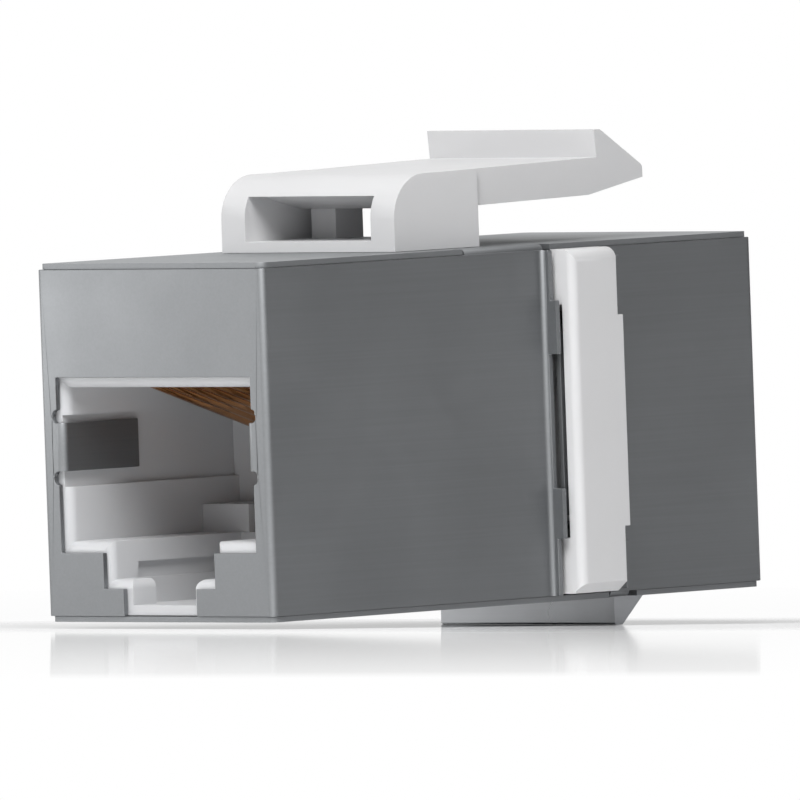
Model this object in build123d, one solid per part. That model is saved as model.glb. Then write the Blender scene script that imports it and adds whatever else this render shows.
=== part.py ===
from build123d import *
import math
import os

# Millimetres. X runs across, Y from the near socket to the far socket, Z up.
# Y counts from the plane where the side stops meet the panel, so what lies on the
# near side of it is negative. The sockets are sized from their own outer face.
# Z counts from the shells' lower edge until the last step moves it to the axis.

# Folded metal body
BODY_WIDTH = 14.5
SHELL_HEIGHT = 15.7
NEAR_REACH = 21.52
FAR_REACH = 9.88
SHEET = 0.25
FOLD_OUTER = 0.3
FOLD_INNER = 0.05
SEAM = 0.015
NEAR_WALL_END = -3.92
FAR_WALL_START = -2.82

# Flanges at the end of the near shell's side walls
FLANGE_FRONT = -3.67
FLANGE_FOLD = 0.24
FLANGE_WIDE = 0.78
FLANGE_ENDS = 0.4
FLANGE_NOTCH = 0.24
FLANGE_WIDE_LOW = 2.6
FLANGE_WIDE_BELOW_TOP = 2.3
FLANGE_NOTCH_LOW = 4.89
FLANGE_NOTCH_BELOW_TOP = 4.73

# Ears and tongues at the start of the far shell's side walls
CATCH_REACH = 1.3
CATCH_LOW_START = 0.2
CATCH_LOW_END = 2.4
CATCH_TOP_GAP = 0.4
CATCH_HEIGHT = 2.3
CATCH_GAP = 0.05
CATCH_RELIEF = 0.1
TONGUE_FRONT = -3.22
TONGUE_BEND = -1.47
TONGUE_SLOPE = 0.45
TONGUE_STEP = 0.21
TONGUE_ROOT = -0.52
TONGUE_LOW = 3.65
TONGUE_BELOW_TOP = 3.72
TONGUE_GAP = 0.3

# Stepped opening in the metal end faces
PORT_HALF = 6.25
PORT_TOP = 10.8
PORT_SHOULDER = 2.87
PORT_STEP_HALF = 3.57
PORT_STEP_LOW = 1.25
PORT_SLOT_HALF = 2.34

# Grounding tabs folded in from the opening's sides
TAB_LOW = 6.55
TAB_HIGH = 8.74
TAB_END = 4.8
TAB_FOLD = 0.35
RELIEF_RADIUS = 0.3

# Top and bottom plates
PLATE_INSET = 0.1
PLATE_CORNER = 0.4
EAR_START = -8.32
EAR_END = -3.32
EAR_RELIEF = 0.3
EAR_DEPTH = 1.8
EAR_CLEARANCE = 0.02
LOWER_EAR_START = 0.28
LOWER_EAR_END = 1.48

# Socket housings, with lengths counted from the end wall's outer face
HOUSING_FRONT = 0.3
HOUSING_BACK = 12.0
HOUSING_SIDE_GAP = 0.04
HOUSING_END_GAP = 0.05
HOUSING_CLIP_GAP = 0.18
HOUSING_WEB_GAP = 0.1
HOUSING_EAR_GAP = 0.2
CAVITY_HALF = 5.9
CAVITY_LOW = 3.38
CAVITY_TOP = 10.33
CAVITY_BACK = 11.1
LEAD_IN = 0.45
RECESS_LOW = 5.84
RECESS_HIGH = 9.09
RECESS_DEPTH = 0.3
STOP_START = 8.7
STOP_INNER = 2.93
STOP_HEIGHT = 1.26
STEP_HALF = 3.38
STEP_LOW = 1.67
LEDGE_ROUND = 0.4
SLOT_HALF = 2.02
SLOT_LOW = 0.5
LIP_STEP = 1.73
LIP_SLOT = 1.46
LATCH_HOLLOW_HALF = 3.6
LATCH_HOLLOW_TOP = 2.4
LATCH_HOLLOW_END = 8.6

# Contact wires, drawn with flat sides and a chorded bend to keep them light
CONTACT_COUNT = 8
CONTACT_PITCH = 1.016
WIRE = 0.45
WIRE_FIT = 0.02
WIRE_SIDES = 8
WIRE_FREE_Y = 10.3
WIRE_SLOPE_DEG = 18.5
HAIRPIN_Y = 3.27
HAIRPIN_Z = 11.2
HAIRPIN_RADIUS = 0.7
HAIRPIN_CHORDS = 6
TAIL_DROP = 1.5
TAIL_GAP = 0.2
TAIL_BEYOND = 0.5

# Contact carrier and its seat over the cavity
CARRIER_HALF = 4.6
CARRIER_FRONT = 4.5
CARRIER_BACK = 10.5
CARRIER_LOW = 11.2
CARRIER_TOP = 12.7
CARRIER_GAP = 0.03
CHANNEL_HALF = 4.05
CHANNEL_FRONT = 2.0

# Circuit board in the middle of the body
BOARD_THICKNESS = 1.6
BOARD_SIDE_GAP = 0.4
BOARD_LOW = 1.2
BOARD_WEB_GAP = 0.2
BOARD_HOLE_FIT = 0.1
POST_RADIUS = 0.8
POST_TIP_RADIUS = 0.5
POST_FIT = 0.03
POST_INSET = 1.2
POST_LOW = 3.0
POST_TOP = 9.0

# White clip: side stops
STOP_FRONT = -3.17
STOP_PAD = 0.3
STOP_PAD_LOW = 3.04
STOP_PAD_BELOW_TOP = 3.09
STOP_OVERHANG = 1.4
STOP_WALL_GAP = 0.04
STOP_BOTTOM = 0.09
STOP_EDGE = 0.4
STOP_TOP_ROUND = 0.6
STOP_LOW_CHAMFER = 0.5
POCKET_LOW = 2.62
POCKET_BELOW_TOP = 2.5
POCKET_DEPTH = 1.9
POCKET_WIDTH = 0.65

# White clip: bars inside the body that join the side stops to the block
BAR_START = -2.77
BAR_FIT = 0.05
WEB_THICKNESS = 1.05
WEB_START = -11.02
WEB_SIDE_GAP = 0.6
LOW_BAR_TOP = 1.0
LOW_BAR_GAP = 0.1
NECK_HALF = 5.0
NECK_START = -10.82
NECK_END = -6.42
NECK_FIT = 0.05

# White clip: latch block
BLOCK_HALF = 5.55
BLOCK_FRONT = -11.32
BLOCK_REAR = -5.92
BLOCK_LIFT = 0.02
BLOCK_ROUND = 2.0
BLOCK_TOP = 3.5
BLOCK_TOP_REAR = 3.55
BLOCK_RISE_START = -8.52
WINDOW_HALF = 4.04
WINDOW_FLOOR = 0.5
WINDOW_ROOF = 2.55
WINDOW_ROOF_START = -10.32
WINDOW_ROOF_REAR = 1.85
BLOCK_POST_INNER = 1.87
BLOCK_POST_OUTER = 3.42
BLOCK_POST_START = -7.67

# White clip: sprung arm, with heights counted from the top plate's surface
ARM_HALF = 5.35
ROOT_HEIGHT = 2.9
ROOT_RADIUS = 0.65
ROOT_CLEARANCE = 0.05
ROOT_TOP = 3.53
ARM_START = -5.62
ARM_UNDER_ROOT = 1.89
ARM_UNDER_BEND = 2.03
ARM_BEND_Y = 1.4
ARM_TIP_Y = 4.91
ARM_TIP_UNDER = 2.7
ARM_TIP_UPPER = 3.24
ARM_TIP_ROUND = 0.3
ARM_TIP_EDGE = 0.05
WEDGE_FRONT = 1.98
WEDGE_LEAN = 0.12
WEDGE_ROOT = 3.72
WEDGE_TOP = 4.98
WEDGE_LAND = 0.4
WEDGE_EDGE = 0.1

# Metal hook under the body
HOOK_HALF = 5.58
HOOK_FRONT = 1.88
HOOK_DROP = 1.35
HOOK_FLAT = 0.5
HOOK_END = 3.83
HOOK_EDGE = 0.1
TENON_CENTRE = 3.2
TENON_WIDTH = 2.0
TENON_LENGTH = 1.0
TENON_FIT = 0.03

SHORTEST_EDGE = 0.001

# Worked out from the sizes above
HALF = BODY_WIDTH / 2
WALL_INNER = HALF - SHEET
PLATE_TOP = SHELL_HEIGHT + SHEET
STOP_REAR = -STOP_PAD
STOP_INNER_X = HALF + STOP_WALL_GAP
STOP_OUTER_X = HALF + STOP_OVERHANG
HOUSING_HALF = WALL_INNER - HOUSING_SIDE_GAP
BOARD_FACE = (NEAR_REACH + FAR_REACH - BOARD_THICKNESS) / 2
BOARD_HALF = WALL_INNER - BOARD_SIDE_GAP
POST_X = BOARD_HALF - POST_INSET
WIRE_RUN_Z = HAIRPIN_Z + HAIRPIN_RADIUS
ROOT_Z = PLATE_TOP + ROOT_HEIGHT
WEB_LOW = SHELL_HEIGHT - BAR_FIT - WEB_THICKNESS
WEB_HALF = WALL_INNER - WEB_SIDE_GAP
BOARD_TOP = WEB_LOW - BOARD_WEB_GAP
TO_FRAME = Location((0, 0, -SHELL_HEIGHT / 2))


def box(x_limits, y_limits, z_limits):
    """A block between three pairs of limits."""
    limits = (x_limits, y_limits, z_limits)
    size = [high - low for low, high in limits]
    middle = [(low + high) / 2 for low, high in limits]
    return Pos(*middle) * Box(*size)


def rounded_corner(before, corner, after, radius):
    """The start, middle and end of the arc that rounds a corner between its neighbours."""
    backward = (before - corner).normalized()
    forward = (after - corner).normalized()
    half_angle = math.radians(backward.get_angle(forward) / 2)
    setback = radius / math.tan(half_angle)
    inward = (backward + forward).normalized()
    middle = corner + inward * (radius / math.sin(half_angle) - radius)
    return corner + backward * setback, middle, corner + forward * setback


def outline(points, radii=None):
    """A closed face through the points, each corner rounded by its own radius."""
    corners = [Vector(*point) for point in points]
    radii = radii or [0] * len(corners)
    edges = []
    ends = []
    for index, corner in enumerate(corners):
        if radii[index] == 0:
            ends.append((corner, corner))
            continue
        after = corners[(index + 1) % len(corners)]
        start, middle, end = rounded_corner(corners[index - 1], corner, after, radii[index])
        edges.append(ThreePointArc(start, middle, end))
        ends.append((start, end))
    for index, (_, end) in enumerate(ends):
        following = ends[(index + 1) % len(ends)][0]
        if (following - end).length > SHORTEST_EDGE:
            edges.append(Line(end, following))
    return make_face(edges)


def along_x(points, start, end, radii=None):
    """A solid from an outline in Y and Z, between two X positions."""
    plane = Plane((start, 0, 0), x_dir=(0, 1, 0), z_dir=(1, 0, 0))
    return extrude(plane * outline(points, radii), end - start)


def along_y(points, start, end, radii=None):
    """A solid from an outline in X and Z, between two Y positions."""
    plane = Plane((0, end, 0), x_dir=(1, 0, 0), z_dir=(0, -1, 0))
    return extrude(plane * outline(points, radii), end - start)


def along_z(points, start, end, radii=None):
    """A solid from an outline in X and Y, between two heights."""
    return extrude(Plane.XY.offset(start) * outline(points, radii), end - start)


def both_sides(shape):
    """The shape and its mirror image across the body's middle plane."""
    return shape + mirror(shape, about=Plane.YZ)


def at_near_end(shape):
    """A shape sized from an end wall's outer face, put at the near end."""
    return Pos(0, -NEAR_REACH, 0) * shape


def at_far_end(shape):
    """A shape sized from an end wall's outer face, turned round and put at the far end."""
    return Pos(0, FAR_REACH, 0) * (Rot(0, 0, 180) * shape)


def end_wall(wall_end):
    """An end face with its opening and tabs, and both side walls, folded from one sheet."""
    outer = [(-HALF, wall_end), (-HALF, 0), (HALF, 0), (HALF, wall_end)]
    inner = [
        (WALL_INNER, wall_end), (WALL_INNER, SHEET),
        (-WALL_INNER, SHEET), (-WALL_INNER, wall_end),
    ]
    radii = [0, FOLD_OUTER, FOLD_OUTER, 0, 0, FOLD_INNER, FOLD_INNER, 0]
    wall = along_z(outer + inner, SEAM, SHELL_HEIGHT - SEAM, radii) - port_cut()
    return wall + both_sides(grounding_tab())


def port_cut():
    """The stepped opening and the relief holes at the ends of the grounding tabs."""
    half_outline = [
        (PORT_HALF, PORT_TOP), (PORT_HALF, PORT_SHOULDER), (PORT_STEP_HALF, PORT_SHOULDER),
        (PORT_STEP_HALF, PORT_STEP_LOW), (PORT_SLOT_HALF, PORT_STEP_LOW), (PORT_SLOT_HALF, 0),
    ]
    mirrored = [(-x, z) for x, z in reversed(half_outline)]
    cut = along_y(half_outline + mirrored, -SHEET, 2 * SHEET)
    for z in (TAB_LOW - RELIEF_RADIUS, TAB_HIGH + RELIEF_RADIUS):
        plane = Plane((PORT_HALF, 2 * SHEET, z), x_dir=(1, 0, 0), z_dir=(0, -1, 0))
        cut += both_sides(extrude(plane * Circle(RELIEF_RADIUS), 3 * SHEET))
    return cut


def grounding_tab():
    """The tab on the right: a fold inwards from the opening's edge, then a flat spring."""
    outer_x = PORT_HALF - TAB_FOLD
    inner_x = outer_x + SHEET
    points = [
        (PORT_HALF, 0), (outer_x, 0), (outer_x, TAB_END),
        (inner_x, TAB_END), (inner_x, SHEET), (PORT_HALF, SHEET),
    ]
    radii = [0, TAB_FOLD, 0, 0, TAB_FOLD - SHEET - FOLD_INNER / 2, 0]
    return along_z(points, TAB_LOW, TAB_HIGH, radii)


def flange():
    """The outward fold at the end of the near shell's right side wall."""
    rear = FLANGE_FRONT + SHEET
    reach = HALF + FLANGE_WIDE
    points = [
        (HALF, NEAR_WALL_END), (HALF, FLANGE_FRONT), (reach, FLANGE_FRONT),
        (reach, rear), (WALL_INNER, rear), (WALL_INNER, NEAR_WALL_END),
    ]
    radii = [0, FLANGE_FOLD, 0, 0, FLANGE_FOLD + SHEET, 0]
    strip = along_z(points, SEAM, SHELL_HEIGHT - SEAM, radii)
    depth = (NEAR_WALL_END, rear + SHEET)
    beyond = reach + SHEET
    wide_high = SHELL_HEIGHT - FLANGE_WIDE_BELOW_TOP
    notch = (FLANGE_NOTCH_LOW, SHELL_HEIGHT - FLANGE_NOTCH_BELOW_TOP)
    strip -= box((HALF + FLANGE_ENDS, beyond), depth, (0, FLANGE_WIDE_LOW))
    strip -= box((HALF + FLANGE_ENDS, beyond), depth, (wide_high, SHELL_HEIGHT))
    return strip - box((HALF + FLANGE_NOTCH, beyond), depth, notch)


def near_shell():
    """End face, side walls, grounding tabs and flanges, one folded sheet."""
    return at_near_end(end_wall(NEAR_REACH + NEAR_WALL_END)) + both_sides(flange())


def far_tongue():
    """The stepped tongue on the far shell's right wall that sits in the stop's pocket."""
    inner = STOP_INNER_X + TONGUE_STEP
    outer = inner + SHEET
    bent = TONGUE_BEND - TONGUE_SLOPE
    shift = SHEET * math.tan(math.atan2(inner - WALL_INNER, TONGUE_SLOPE) / 2)
    points = [
        (WALL_INNER, TONGUE_ROOT), (WALL_INNER, TONGUE_BEND), (inner, bent),
        (inner, TONGUE_FRONT), (outer, TONGUE_FRONT), (outer, bent + shift),
        (HALF, TONGUE_BEND + shift), (HALF, TONGUE_ROOT),
    ]
    return along_z(points, TONGUE_LOW, SHELL_HEIGHT - TONGUE_BELOW_TOP)


def far_catches():
    """The two ears on the right that are folded outwards behind the side stop."""
    front = STOP_REAR + CATCH_GAP
    rear = front + SHEET
    tip = HALF + CATCH_REACH
    points = [
        (WALL_INNER, rear + SHEET), (WALL_INNER, front), (tip, front),
        (tip, rear), (HALF, rear), (HALF, rear + SHEET),
    ]
    radii = [0, FOLD_OUTER, 0, 0, FOLD_INNER, 0]
    high_end = SHELL_HEIGHT - CATCH_TOP_GAP
    low = along_z(points, CATCH_LOW_START, CATCH_LOW_END, radii)
    return low + along_z(points, high_end - CATCH_HEIGHT, high_end, radii)


def far_shell():
    """The far end, with open corners for the clip's bars, ears and tongues."""
    shell = at_far_end(end_wall(FAR_REACH - FAR_WALL_START))
    beside = (WALL_INNER - SHEET, HALF + SHEET)
    corner = (FAR_WALL_START, STOP_REAR + CATCH_GAP + 2 * SHEET)
    high_start = SHELL_HEIGHT - CATCH_TOP_GAP - CATCH_HEIGHT - CATCH_RELIEF
    shell -= both_sides(box(beside, corner, (high_start, PLATE_TOP)))
    shell -= both_sides(box(beside, corner, (-SHEET, CATCH_LOW_END + CATCH_RELIEF)))
    tongue_space = (TONGUE_LOW - TONGUE_GAP, SHELL_HEIGHT - TONGUE_BELOW_TOP + TONGUE_GAP)
    shell -= both_sides(box(beside, (FAR_WALL_START, TONGUE_ROOT), tongue_space))
    return shell + both_sides(far_tongue()) + both_sides(far_catches())


def plain_plate():
    """The plate as a flat sheet with rounded corners, just inside the body's outline."""
    side = HALF - PLATE_INSET
    start = PLATE_INSET - NEAR_REACH
    end = FAR_REACH - PLATE_INSET
    corners = [(-side, start), (side, start), (side, end), (-side, end)]
    return along_z(corners, SHELL_HEIGHT, PLATE_TOP, [PLATE_CORNER] * len(corners))


def ear(start, end):
    """A right-hand ear: a fold at the plate's edge that runs down inside the side wall."""
    outer = WALL_INNER - EAR_CLEARANCE
    inner = outer - SHEET
    low = SHELL_HEIGHT - EAR_DEPTH
    points = [
        (inner - SHEET, SHELL_HEIGHT), (inner, SHELL_HEIGHT), (inner, low),
        (outer, low), (outer, PLATE_TOP), (inner - SHEET, PLATE_TOP),
    ]
    radii = [0, FOLD_INNER, 0, 0, FOLD_OUTER, 0]
    return along_y(points, start, end, radii)


def plate_with_ears(start, end):
    """A plate whose edge is folded down between two relief notches on each side."""
    edge = WALL_INNER - EAR_CLEARANCE - 2 * SHEET
    notch = box(
        (edge, BODY_WIDTH), (start - EAR_RELIEF, end + EAR_RELIEF), (0, PLATE_TOP + SHEET),
    )
    return plain_plate() - both_sides(notch) + both_sides(ear(start, end))


def top_plate():
    """Plate with a window for the clip's neck."""
    window = box(
        (-NECK_HALF - NECK_FIT, NECK_HALF + NECK_FIT),
        (NECK_START - NECK_FIT, NECK_END + NECK_FIT), (0, PLATE_TOP + SHEET),
    )
    return plate_with_ears(EAR_START, EAR_END) - window


def bottom_plate():
    """The lower plate, upside down, with slots for the hook's tenons."""
    plate = plate_with_ears(LOWER_EAR_START, LOWER_EAR_END)
    plate = Pos(0, 0, SHELL_HEIGHT) * mirror(plate, about=Plane.XY)
    for side in (-1, 1):
        plate -= tenon(side, TENON_FIT)
    return plate


def tenon(side, fit):
    """One of the hook's tenons, or the slot for it when the fit is more than nothing."""
    middle = side * TENON_CENTRE
    half = TENON_WIDTH / 2 + fit
    start = HOOK_FRONT + HOOK_FLAT / 2
    return box(
        (middle - half, middle + half), (start - fit, start + TENON_LENGTH + fit),
        (-SHEET - fit, fit),
    )


def bottom_hook():
    """The wedge that catches the panel's lower edge, with two tenons in the plate."""
    low = -SHEET - HOOK_DROP
    points = [
        (HOOK_FRONT, -SHEET), (HOOK_FRONT, low), (HOOK_FRONT + HOOK_FLAT, low), (HOOK_END, -SHEET),
    ]
    hook = along_x(points, -HOOK_HALF, HOOK_HALF, [0, HOOK_EDGE, HOOK_EDGE, 0])
    for side in (-1, 1):
        hook += tenon(side, 0)
    return hook


def lead_in(half, low):
    """A flare at the mouth: a block up to the cavity's top, its front edges rounded outwards."""
    front = HOUSING_FRONT
    back = front + LEAD_IN
    flare = box(
        (-half - LEAD_IN, half + LEAD_IN), (front, back), (low - LEAD_IN, CAVITY_TOP + LEAD_IN),
    )
    for edge in (-half - LEAD_IN, half + LEAD_IN):
        plane = Plane((edge, back, low - 2 * LEAD_IN), x_dir=(1, 0, 0), z_dir=(0, 0, 1))
        flare -= extrude(plane * Circle(LEAD_IN), CAVITY_TOP - low + 4 * LEAD_IN)
    for edge in (low - LEAD_IN, CAVITY_TOP + LEAD_IN):
        plane = Plane((-half - 2 * LEAD_IN, back, edge), x_dir=(0, 1, 0), z_dir=(1, 0, 0))
        flare -= extrude(plane * Circle(LEAD_IN), 2 * half + 4 * LEAD_IN)
    return flare


def latch_way():
    """The stepped room under the cavity for the plug's latch, with rounded ledges."""
    front = HOUSING_FRONT
    half_outline = [
        (STEP_HALF, CAVITY_LOW), (STEP_HALF, STEP_LOW), (SLOT_HALF, STEP_LOW), (SLOT_HALF, SLOT_LOW),
    ]
    mirrored = [(-x, z) for x, z in reversed(half_outline)]
    radii = [0, 0, LEDGE_ROUND, 0]
    way = along_y(half_outline + mirrored, front, LATCH_HOLLOW_END, radii + radii[::-1])
    way += box(
        (-LATCH_HOLLOW_HALF, LATCH_HOLLOW_HALF), (front + LIP_STEP, LATCH_HOLLOW_END),
        (STEP_LOW, LATCH_HOLLOW_TOP),
    )
    return way + box(
        (-STEP_HALF, STEP_HALF), (front + LIP_SLOT, LATCH_HOLLOW_END), (SLOT_LOW, LATCH_HOLLOW_TOP),
    )


def housing_cavity():
    """The room for the plug: main cavity with its flare, tab recesses and latch way."""
    front = HOUSING_FRONT
    room = box((-CAVITY_HALF, CAVITY_HALF), (front, CAVITY_BACK), (CAVITY_LOW, CAVITY_TOP))
    room -= both_sides(box(
        (STOP_INNER, CAVITY_HALF), (STOP_START, CAVITY_BACK),
        (CAVITY_LOW, CAVITY_LOW + STOP_HEIGHT),
    ))
    deep = CAVITY_HALF + RECESS_DEPTH
    room += box((-deep, deep), (front, CAVITY_BACK), (RECESS_LOW, RECESS_HIGH))
    room += lead_in(CAVITY_HALF, CAVITY_LOW)
    room += lead_in(STEP_HALF, STEP_LOW)
    return room + latch_way()


def contact_channel():
    """The slot over the cavity for the wires, and the carrier's seat behind it."""
    channel = box(
        (-CHANNEL_HALF, CHANNEL_HALF), (CHANNEL_FRONT, CARRIER_BACK), (CAVITY_TOP, CARRIER_TOP),
    )
    half = CARRIER_HALF + CARRIER_GAP
    seat = box(
        (-half, half), (CARRIER_FRONT - CARRIER_GAP, HOUSING_BACK),
        (CARRIER_LOW - CARRIER_GAP, CARRIER_TOP + CARRIER_GAP),
    )
    return channel + seat


def board_posts():
    """Four posts with thin tips that stand in the circuit board's holes."""
    tip_end = BOARD_FACE + BOARD_THICKNESS / 2 - POST_FIT
    shoulder = BOARD_FACE - POST_FIT
    posts = []
    for x in (-POST_X, POST_X):
        for z in (POST_LOW, POST_TOP):
            plane = Plane((x, HOUSING_BACK, z), x_dir=(1, 0, 0), z_dir=(0, 1, 0))
            posts.append(extrude(plane * Circle(POST_RADIUS), shoulder - HOUSING_BACK))
            posts.append(extrude(plane * Circle(POST_TIP_RADIUS), tip_end - HOUSING_BACK))
    return posts


def jack_housing():
    """A socket's moulding, stepped at its back where the clip's bars pass."""
    low = HOUSING_END_GAP
    top = SHELL_HEIGHT - HOUSING_END_GAP
    block = box((-HOUSING_HALF, HOUSING_HALF), (HOUSING_FRONT, HOUSING_BACK), (low, top))
    wide = (-BODY_WIDTH, BODY_WIDTH)
    bar_place = FAR_REACH - STOP_REAR - HOUSING_CLIP_GAP
    web_place = NEAR_REACH + WEB_START - HOUSING_CLIP_GAP
    step_top = WEB_LOW - HOUSING_WEB_GAP
    block -= box(wide, (min(bar_place, web_place), HOUSING_BACK), (step_top, top + SHEET))
    block -= box(wide, (bar_place, HOUSING_BACK), (low - SHEET, LOW_BAR_TOP + LOW_BAR_GAP))
    ear_place = FAR_REACH - LOWER_EAR_END - EAR_RELIEF - HOUSING_EAR_GAP
    block -= both_sides(box(
        (WALL_INNER - EAR_CLEARANCE - SHEET - HOUSING_EAR_GAP, BODY_WIDTH),
        (ear_place, HOUSING_BACK), (low - SHEET, EAR_DEPTH + HOUSING_EAR_GAP),
    ))
    block -= housing_cavity()
    block -= contact_channel()
    for post in board_posts():
        block += post
    return block


def contact_x(index):
    """The X position of one of the eight contact wires."""
    return (index - (CONTACT_COUNT - 1) / 2) * CONTACT_PITCH


def tail_height(index):
    """Even wires run straight into the upper row of holes, odd ones drop to the lower row."""
    return WIRE_RUN_Z - TAIL_DROP * (index % 2)


def wire_points(index):
    """Y and Z along a wire: free end, slope, hairpin bend, run over the carrier, tail."""
    start = 270 - WIRE_SLOPE_DEG
    turn = start - 90
    hairpin = []
    for chord in range(HAIRPIN_CHORDS + 1):
        angle = math.radians(start - turn * chord / HAIRPIN_CHORDS)
        y = HAIRPIN_Y + HAIRPIN_RADIUS * math.cos(angle)
        hairpin.append((y, HAIRPIN_Z + HAIRPIN_RADIUS * math.sin(angle)))
    meet_y, meet_z = hairpin[0]
    drop = (WIRE_FREE_Y - meet_y) * math.tan(math.radians(WIRE_SLOPE_DEG))
    tail = [(BOARD_FACE + BOARD_THICKNESS + TAIL_BEYOND, tail_height(index))]
    if index % 2 == 1:
        tail.insert(0, (BOARD_FACE - TAIL_GAP, tail_height(index)))
        tail.insert(0, (HOUSING_BACK + TAIL_GAP, WIRE_RUN_Z))
    return [(WIRE_FREE_Y, meet_z - drop)] + hairpin + tail


def wire_section(fit=0):
    """The wire's section, or the hole for it when the fit is more than nothing."""
    turned = 180 / WIRE_SIDES
    return Rot(0, 0, turned) * RegularPolygon(WIRE / 2 + fit, WIRE_SIDES, major_radius=False)


def contact_wire(index):
    """One contact wire."""
    path = Polyline(*[(contact_x(index), y, z) for y, z in wire_points(index)])
    start = Plane(origin=path @ 0, x_dir=(1, 0, 0), z_dir=path % 0)
    return sweep(start * wire_section(), path=path, transition=Transition.RIGHT)


def contact_carrier():
    """The comb that holds the eight wires side by side over the cavity."""
    along = (CARRIER_FRONT, CARRIER_BACK)
    carrier = box((-CARRIER_HALF, CARRIER_HALF), along, (CARRIER_LOW, CARRIER_TOP))
    half = WIRE / 2 + WIRE_FIT
    for index in range(CONTACT_COUNT):
        middle = contact_x(index)
        carrier -= box((middle - half, middle + half), along, (WIRE_RUN_Z - half, CARRIER_TOP))
    return carrier


def circuit_board():
    """The board in the middle, drilled for both sets of tails and for the posts."""
    through = (BOARD_FACE, BOARD_FACE + BOARD_THICKNESS)
    board = box((-BOARD_HALF, BOARD_HALF), through, (BOARD_LOW, BOARD_TOP))
    holes = []
    for index in range(CONTACT_COUNT):
        for direction in (-1, 1):
            place = (direction * contact_x(index), tail_height(index))
            holes.append((place, wire_section(BOARD_HOLE_FIT)))
    for x in (-POST_X, POST_X):
        for z in (POST_LOW, POST_TOP):
            holes.append(((x, z), Circle(POST_TIP_RADIUS + POST_FIT)))
    for (x, z), section in holes:
        plane = Plane((x, BOARD_FACE, z), x_dir=(1, 0, 0), z_dir=(0, 1, 0))
        board -= extrude(plane * section, BOARD_THICKNESS)
    return board


def side_stop():
    """The right-hand stop: rounded above, bevelled below, with a pocket in its front."""
    plan = [
        (STOP_INNER_X, STOP_FRONT), (STOP_OUTER_X, STOP_FRONT),
        (STOP_OUTER_X, STOP_REAR), (STOP_INNER_X, STOP_REAR),
    ]
    end_view = [
        (STOP_INNER_X, STOP_BOTTOM), (STOP_OUTER_X - STOP_LOW_CHAMFER, STOP_BOTTOM),
        (STOP_OUTER_X, STOP_BOTTOM + STOP_LOW_CHAMFER), (STOP_OUTER_X, SHELL_HEIGHT),
        (STOP_INNER_X, SHELL_HEIGHT),
    ]
    stop = along_z(plan, STOP_BOTTOM, SHELL_HEIGHT, [0, STOP_EDGE, 0, 0])
    stop &= along_y(end_view, STOP_FRONT, STOP_REAR, [0, 0, 0, STOP_TOP_ROUND, 0])
    pad = (STOP_PAD_LOW, SHELL_HEIGHT - STOP_PAD_BELOW_TOP)
    stop += box((STOP_INNER_X, STOP_OUTER_X), (STOP_REAR, 0), pad)
    return stop - box(
        (STOP_INNER_X, STOP_INNER_X + POCKET_WIDTH), (STOP_FRONT, STOP_FRONT + POCKET_DEPTH),
        (POCKET_LOW, SHELL_HEIGHT - POCKET_BELOW_TOP),
    )


def inner_bars():
    """Bars through the body's corners, and the web that carries the block's neck."""
    along = (BAR_START, STOP_REAR)
    reach = STOP_INNER_X + POCKET_WIDTH
    web_top = SHELL_HEIGHT - BAR_FIT
    bars = box((-reach, reach), along, (WEB_LOW, web_top))
    bars += box((-reach, reach), along, (STOP_BOTTOM, LOW_BAR_TOP))
    bars += box((-WEB_HALF, WEB_HALF), (WEB_START, STOP_REAR), (WEB_LOW, web_top))
    block_base = PLATE_TOP + BLOCK_LIFT
    return bars + box((-NECK_HALF, NECK_HALF), (NECK_START, NECK_END), (WEB_LOW, block_base))


def block_body():
    """The latch block with its rounded front, before the hollows."""
    base = PLATE_TOP + BLOCK_LIFT
    points = [
        (BLOCK_FRONT, base), (BLOCK_FRONT, PLATE_TOP + BLOCK_TOP),
        (BLOCK_RISE_START, PLATE_TOP + BLOCK_TOP), (BLOCK_REAR, PLATE_TOP + BLOCK_TOP_REAR),
        (BLOCK_REAR, base),
    ]
    return along_x(points, -BLOCK_HALF, BLOCK_HALF, [0, BLOCK_ROUND, 0, 0, 0])


def block_hollows():
    """The window, the two slits beside the posts and the gap between the posts."""
    floor = PLATE_TOP + WINDOW_FLOOR
    roof = PLATE_TOP + WINDOW_ROOF
    roof_rear = PLATE_TOP + WINDOW_ROOF_REAR
    front = BLOCK_FRONT - SHEET
    rear = BLOCK_REAR + SHEET
    profile = [
        (front, floor), (front, roof), (WINDOW_ROOF_START, roof),
        (BLOCK_POST_START, roof_rear), (BLOCK_POST_START, floor),
    ]
    hollow = along_x(profile, -WINDOW_HALF, WINDOW_HALF)
    through = (BLOCK_POST_START, rear)
    hollow += box((-BLOCK_POST_INNER, BLOCK_POST_INNER), through, (floor, roof_rear))
    return hollow + both_sides(box((BLOCK_POST_OUTER, WINDOW_HALF), through, (floor, roof_rear)))


def root_seat():
    """The round seat in the block's rear that the arm's root turns in."""
    plane = Plane((-BLOCK_HALF, BLOCK_REAR, ROOT_Z), x_dir=(0, 1, 0), z_dir=(1, 0, 0))
    return extrude(plane * Circle(ROOT_RADIUS + ROOT_CLEARANCE), 2 * BLOCK_HALF)


def clip_frame():
    """Side stops, inner bars and latch block, one white moulding."""
    block = block_body() - block_hollows() - root_seat()
    return block + inner_bars() + both_sides(side_stop())


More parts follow.
